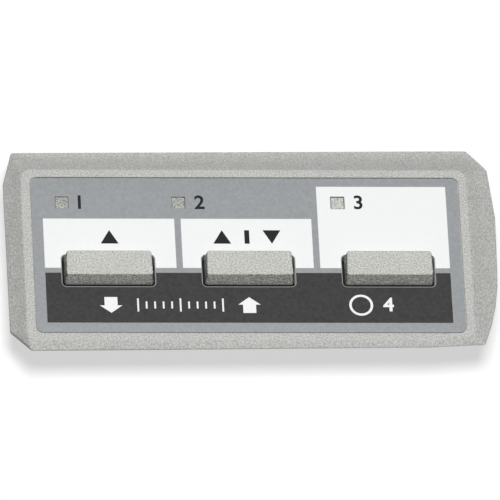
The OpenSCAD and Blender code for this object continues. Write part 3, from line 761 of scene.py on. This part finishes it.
def prisms(name, outlines, low, high):
    """Several upright prisms as one object."""
    points, faces = [], []
    for outline in outlines:
        first, count = len(points), len(outline)
        top = first + count
        points += [*level(outline, low), *level(outline, high)]
        faces += [tuple(range(top - 1, first - 1, -1)), tuple(range(top, top + count))]
        faces += ring_faces(first, top, count)
    return new_object(name, mesh_from(name, points, faces))


def box_outline(x0, y0, x1, y1):
    """A rectangle from its lower left to its upper right corner, anticlockwise."""
    return [(x0, y0), (x1, y0), (x1, y1), (x0, y1)]


def ink(name, outlines, material, cutter=None, layer=1):
    """Printed shapes on the label, or on the ink of the layer before."""
    printed = prisms(name, outlines, LABEL_TOP - INK_ROOT, LABEL_TOP + layer * INK_T)
    if cutter:
        printed = boolean(printed, cutter, "DIFFERENCE")
    finish_piece(printed, material, "panel")


def hole_cutter(margin):
    """Prisms through every hole of the label, wider by margin."""
    outlines = []
    for side in SIDES:
        for node, hole in ((f"button_{side}", BUTTON_HOLE), (f"light_guide_{side}", WINDOW_HOLE)):
            low, high = size_of(node)
            outlines.append(rounded_rect(*hole, (low + high)[:2] / 2, -margin))
    return prisms("hole_cutter", outlines, LABEL_TOP - BEYOND, LABEL_TOP + BEYOND)


def triangle(x, y, width, height):
    """A triangle round x, y; it points down if height is negative."""
    base = y - height / 2
    corners = [(x - width / 2, base), (x + width / 2, base), (x, y + height / 2)]
    return corners if height > 0 else corners[::-1]


def arrow(x, y, direction):
    """A broad arrow that points up (1) or down (-1)."""
    half, stem, head = ARROW_H / 2, ARROW_STEM / 2, ARROW_W / 2
    shape = [(-stem, -half), (stem, -half), (stem, ARROW_NECK), (head, ARROW_NECK), (0, half),
             (-head, ARROW_NECK), (-stem, ARROW_NECK)]
    return [(x + px, y + direction * py) for px, py in shape][::direction]


def printed_ring(x, y, radius, width, parts=4, steps=12):
    """A ring as neighbouring arcs, because an ink shape has no hole."""
    arcs = []
    for part in range(parts):
        turns = [2 * math.pi * (part + k / steps) / parts for k in range(steps + 1)]
        outer = [(x + radius * math.cos(a), y + radius * math.sin(a)) for a in turns]
        inner = [(x + (radius - width) * math.cos(a), y + (radius - width) * math.sin(a)) for a in turns]
        arcs.append(outer + inner[::-1])
    return arcs


def digit(text, x, y, material):
    """A plain number on the label, with its lower left corner at x, y."""
    name = f"print_digit_{text}"
    curve = bpy.data.curves.new(name, "FONT")
    curve.body = text
    curve.size = DIGIT_H / DIGIT_SHARE
    curve.extrude = (2 * INK_T + INK_ROOT) / 2
    curve.offset = DIGIT_BOLD
    mesh = evaluated(new_object(name, curve))
    low = np.array([v.co for v in mesh.vertices]).min(0)
    mesh.transform(Matrix.Translation((x - low[0], y - low[1], LABEL_TOP - INK_ROOT - low[2])))
    finish_piece(new_object(name, mesh), material, "panel")


def make_print():
    """The label's fields and plain marks."""
    inner = FIELD_SPLIT - FIELD_GAP
    fields = [box_outline(FIELD_X[0], WHITE_Y[0], -FIELD_SPLIT, WHITE_Y[1]),
              box_outline(-inner, WHITE_Y[0], inner, WHITE_Y[1]),
              box_outline(FIELD_SPLIT, WHITE_Y[0], FIELD_X[1], WHITE_TALL_Y)]
    ink("print_white", fields, WHITE, hole_cutter(INK_MARGIN))
    dark_field = box_outline(FIELD_X[0], DARK_Y[0], FIELD_X[1], DARK_Y[1])
    ink("print_dark", [dark_field], DARK, hole_cutter(INK_MARGIN))
    for text, x in DIGITS.items():
        digit(text, x, DIGIT_Y, BLACK)
    digit("4", *LAST_DIGIT, WHITE)
    black = [triangle(MARK_X, MARK_Y, MARK_W, MARK_H), triangle(-MARK_PAIR_X, MARK_Y, MARK_W, MARK_H),
             box_outline(-MARK_BAR / 2, MARK_Y - MARK_H / 2, MARK_BAR / 2, MARK_Y + MARK_H / 2),
             triangle(MARK_PAIR_X, MARK_Y, MARK_W, -MARK_H)]
    ink("print_marks", black, BLACK, layer=2)
    white = [arrow(ARROWS_X[0], ARROW_Y, -1), arrow(ARROWS_X[1], ARROW_Y, 1)]
    white += printed_ring(RING_X, ARROW_Y, RING_R, RING_T)
    for k in range(TICKS):
        x = TICKS_X[0] + (TICKS_X[1] - TICKS_X[0]) * k / (TICKS - 1)
        half = TICK_LONG / 2 if k % 5 == 0 else TICK_SHORT / 2
        white.append(box_outline(x - TICK_T / 2, ARROW_Y - half, x + TICK_T / 2, ARROW_Y + half))
    ink("print_arrows", white, WHITE, layer=2)


# ---- Buttons -------------------------------------------------------------------------------------


def make_button(side):
    """A cap whose taper and edges are rounder than the CAD's, hollow and ribbed as the CAD has it."""
    node = f"button_{side}"
    low, high = size_of(node)
    centre = (low + high)[:2] / 2
    width, depth = CAP

    def ring(z, inset, lean, radius=None):
        """The cap's outline at height z; lean is 0 at the label and 1 at the top."""
        w, d = width - 2 * lean * CAP_TAPER[0] - 2 * inset, depth - lean * CAP_TAPER[1] - 2 * inset
        r = CAP_R - inset if radius is None else radius
        outline = rounded_rect(w, d, r, (0, centre[1] + lean * CAP_TAPER[1] / 2))
        to_rear = (outline[:, 1] - outline[:, 1].min()) / d
        outline[:, 0] = centre[0] + outline[:, 0] * (1 - CAP_TAPER_REAR * lean * to_rear)
        return level(outline, z)

    room = rounded_rect(width + 2 * FLANGE_ROOM, depth + 2 * FLANGE_ROOM, ROOM_R, centre)
    flange_z = low[2] + FLANGE_TOP + SKIN
    rings = [level(room, low[2] - BEYOND), level(room, flange_z), ring(flange_z, SKIN / 2, 0),
             ring(LABEL_TOP, SKIN / 2, 0)]
    top = high[2] - SKIN / 2
    for t in CAP_STOPS:
        rings.append(ring(LABEL_TOP + (top - CAP_EDGE_R - LABEL_TOP) * t, SKIN / 2, t))
    for inset, drop in rounding(CAP_EDGE_R, 8):
        rings.append(ring(top - drop, SKIN / 2 + inset, 1))
    for inset, radius in CAP_TOP_STOPS:
        rings.append(ring(top, SKIN / 2 + CAP_EDGE_R + inset, 1, radius))
    cap = boolean(cad_copy(node, f"key_{side}"), loft(f"key_blank_{side}", rings), "INTERSECT")
    finish_piece(cap, BUTTON, node, stands_for=[node])


# ---- Light guides --------------------------------------------------------------------------------


def make_guide(side):
    """A light guide whose window has rounded edges, above the CAD's foot."""
    node = f"light_guide_{side}"
    low, high = size_of(node)
    centre = (low + high)[:2] / 2
    room = rounded_rect(GUIDE_ROOM, GUIDE_ROOM, ROOM_R, centre)
    foot_z = low[2] + GUIDE_FOOT
    top = high[2] - SKIN / 2
    rings = [level(room, low[2] - BEYOND), level(room, foot_z),
             level(rounded_rect(GUIDE_W - SKIN, GUIDE_W - SKIN, GUIDE_FOOT_R, centre), foot_z)]
    for inset, drop in rounding(GUIDE_EDGE_R, 4):
        rings.append(level(rounded_rect(GUIDE_W, GUIDE_W, GUIDE_R, centre, SKIN / 2 + inset), top - drop))
    rings.append(level(rounded_rect(GUIDE_FLAT, GUIDE_FLAT, GUIDE_FOOT_R, centre), top))
    guide = boolean(cad_copy(node, f"window_{side}"), loft(f"window_blank_{side}", rings), "INTERSECT")
    material = GUIDE_PALE if side == "right" else GUIDE
    finish_piece(guide, material, "panel", stands_for=[node])


# ---- Board and what is on it ---------------------------------------------------------------------

LEAD_TIN = metal("lead_tin", srgb(206, 208, 210), 0.32)
NODE_MATERIALS = {
    "control_board": moulded("board_laminate", srgb(176, 140, 88), 0.55),
    "switch_terminals": metal("terminal_tin", srgb(206, 208, 210), 0.3),
    "led_leads": LEAD_TIN,
    "resistor_leads": LEAD_TIN,
    "capacitor_leads": LEAD_TIN,
    "led_resistors": moulded("resistor_lacquer", srgb(205, 178, 122), 0.35),
    "filter_capacitors": moulded("capacitor_lacquer", srgb(206, 130, 48), 0.3),
    "cable_connector": moulded("connector_plastic", srgb(232, 227, 212), 0.45),
    "connector_contacts": metal("contact_tin", srgb(210, 206, 190), 0.28),
    "solder_joints": metal("solder", srgb(196, 198, 202), 0.25),
    "board_screws": metal("zinc_screw", srgb(198, 200, 206), 0.3),
    "indicator_led_left": moulded("lamp_green", srgb(60, 170, 84), 0.15),
    "indicator_led_middle": moulded("lamp_red", srgb(200, 48, 38), 0.15),
    "indicator_led_right": moulded("lamp_orange", srgb(226, 130, 34), 0.15),
}
SWITCH_MATERIALS = {
    "switch_base": moulded("switch_plastic", srgb(44, 44, 48), 0.5),
    "switch_plunger": moulded("plunger_plastic", srgb(62, 62, 66), 0.45),
    "switch_cover": metal("switch_steel", srgb(205, 207, 210), 0.3, stretch=(12, 1, 1)),
}
DOME_STEEL = metal("spring_steel", srgb(200, 200, 200), 0.22)


def paint_node(node, material):
    """Paints a CAD node that the visual model keeps as it is."""
    mesh = nodes[node].data
    mesh.materials.clear()
    mesh.materials.append(material)
    for face in mesh.polygons:
        face.material_index = 0


def make_dome(side):
    """The snap dome of a switch, which flattens under its plunger."""
    node = f"switch_dome_{side}"
    dome = cad_copy(node, f"snap_dome_{side}")
    finish_piece(dome, DOME_STEEL, "panel", stands_for=[node])
    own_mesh(dome)


def dress_nodes():
    """Paints the board and all that is on it."""
    for node, material in NODE_MATERIALS.items():
        paint_node(node, material)
    for kind, material in SWITCH_MATERIALS.items():
        for side in SIDES:
            paint_node(f"{kind}_{side}", material)


# ---- Studio --------------------------------------------------------------------------------------


def seen_directly(tree):
    """1 where the camera sees a surface itself, mirrored or through something clear, and otherwise 0."""
    path = tree.nodes.new("ShaderNodeLightPath")
    value = path.outputs["Is Camera Ray"]
    for ray in ("Is Glossy Ray", "Is Transmission Ray"):
        either = tree.nodes.new("ShaderNodeMath")
        either.operation = "MAXIMUM"
        tree.links.new(value, either.inputs[0])
        tree.links.new(path.outputs[ray], either.inputs[1])
        value = either.outputs[0]
    return value


def plain_shader(tree, kind, shade, strength=None):
    """A shader of a kind in a grey between 0, black, and 1, white."""
    made = tree.nodes.new(kind)
    made.inputs["Color"].default_value = (shade, shade, shade, 1)
    if strength is not None:
        made.inputs["Strength"].default_value = strength
    return made.outputs[0]


def mix_shaders(tree, factor, a, b):
    """The shader a where factor is 0, and b where it is 1."""
    mixed = tree.nodes.new("ShaderNodeMixShader")
    for socket, source in zip(mixed.inputs, (factor, a, b)):
        tree.links.new(source, socket)
    return mixed.outputs[0]


def distance_share(tree, low, high):
    """From 0 to 1 while the distance from the object's origin goes from low to high, in millimetres."""
    place = tree.nodes.new("ShaderNodeTexCoord")
    length = tree.nodes.new("ShaderNodeVectorMath")
    length.operation = "LENGTH"
    tree.links.new(place.outputs["Object"], length.inputs[0])
    share = tree.nodes.new("ShaderNodeMapRange")
    share.inputs["From Min"].default_value = low * MM
    share.inputs["From Max"].default_value = high * MM
    tree.links.new(length.outputs["Value"], share.inputs["Value"])
    return share.outputs["Result"]


def make_floor():
    """A floor that looks plain white but for the object's shadow."""
    corners = level(box_outline(-FLOOR_HALF, -FLOOR_HALF, FLOOR_HALF, FLOOR_HALF), 0)
    floor = new_object("floor", mesh_from("floor", corners, [(0, 1, 2, 3)]))
    floor.location.z = -FLOOR_GAP * MM
    material = bpy.data.materials.new("floor")
    material.use_nodes = True
    tree = material.node_tree
    tree.nodes.clear()
    shadowed = tree.nodes.new("ShaderNodeAddShader")
    tree.links.new(plain_shader(tree, "ShaderNodeBsdfDiffuse", FLOOR_SHADE), shadowed.inputs[0])
    tree.links.new(plain_shader(tree, "ShaderNodeEmission", 1, FLOOR_LIFT), shadowed.inputs[1])
    seen = mix_shaders(tree, distance_share(tree, *FLOOR_PLAIN), shadowed.outputs[0],
                       plain_shader(tree, "ShaderNodeEmission", 1, 1))
    bounce = plain_shader(tree, "ShaderNodeBsdfDiffuse", FLOOR_BOUNCE)
    output = tree.nodes.new("ShaderNodeOutputMaterial")
    tree.links.new(mix_shaders(tree, seen_directly(tree), bounce, seen), output.inputs["Surface"])
    floor.data.materials.append(material)


def make_world():
    """A world that looks white and lights the object faintly from all sides."""
    world = bpy.data.worlds.new("studio")
    bpy.context.scene.world = world
    world.use_nodes = True
    tree = world.node_tree
    tree.nodes.clear()
    ambient = plain_shader(tree, "ShaderNodeBackground", 1, AMBIENT)
    seen = plain_shader(tree, "ShaderNodeBackground", 1, 1)
    output = tree.nodes.new("ShaderNodeOutputWorld")
    tree.links.new(mix_shaders(tree, seen_directly(tree), ambient, seen), output.inputs["Surface"])


def area_light(name, direction, distance, size, brightness):
    """A square lamp, at which a surface that faces it shows its own colour times brightness."""
    direction = Vector(direction).normalized()
    lamp = bpy.data.lights.new(name, "AREA")
    lamp.shape = "SQUARE"
    lamp.size = size
    reach = size / 2 / distance
    slant = math.hypot(1, reach)
    share = 4 / math.pi * reach / slant * math.atan(reach / slant)
    lamp.energy = brightness * math.pi * size ** 2 / share
    made = new_object(name, lamp)
    made.location = direction * distance
    made.rotation_euler = direction.to_track_quat("Z", "Y").to_euler()


def make_camera():
    """The photograph's viewing angle, with AIM where the photograph shows it."""
    azimuth, elevation, roll = (math.radians(a) for a in (CAMERA_AZIMUTH, CAMERA_ELEVATION, CAMERA_ROLL))
    back = Vector((math.sin(azimuth) * math.cos(elevation), -math.cos(azimuth) * math.cos(elevation),
                   math.sin(elevation)))
    level_right = Vector((math.cos(azimuth), math.sin(azimuth), 0))
    level_up = back.cross(level_right)
    right = math.cos(roll) * level_right + math.sin(roll) * level_up
    up = -math.sin(roll) * level_right + math.cos(roll) * level_up
    aim = Vector((*AIM, LABEL_TOP))
    eye = aim + back * CAMERA_DISTANCE
    middle = aim + right * (PICTURE / 2 - AIM_PIXEL[0]) * PIXEL - up * (PICTURE / 2 - AIM_PIXEL[1]) * PIXEL
    z = (eye - middle).normalized()
    y = (up - up.dot(z) * z).normalized()
    x = y.cross(z)
    data = bpy.data.cameras.new("camera")
    data.sensor_width = CAMERA_SENSOR
    data.lens = CAMERA_SENSOR * CAMERA_DISTANCE / (PICTURE * PIXEL)
    camera = new_object("camera", data)
    camera.matrix_world = Matrix.Translation(eye * MM) @ Matrix((x, y, z)).transposed().to_4x4()
    bpy.context.scene.camera = camera


# ---- The scene -----------------------------------------------------------------------------------

make_camera()
make_cover()
make_label()
make_print()
for side in SIDES:
    make_button(side)
    make_guide(side)
    make_dome(side)
dress_nodes()
make_floor()
make_world()
area_light("key", KEY_DIRECTION, KEY_DISTANCE, KEY_SIZE, KEY_LEVEL)

bpy.context.scene.view_settings.view_transform = "Standard"
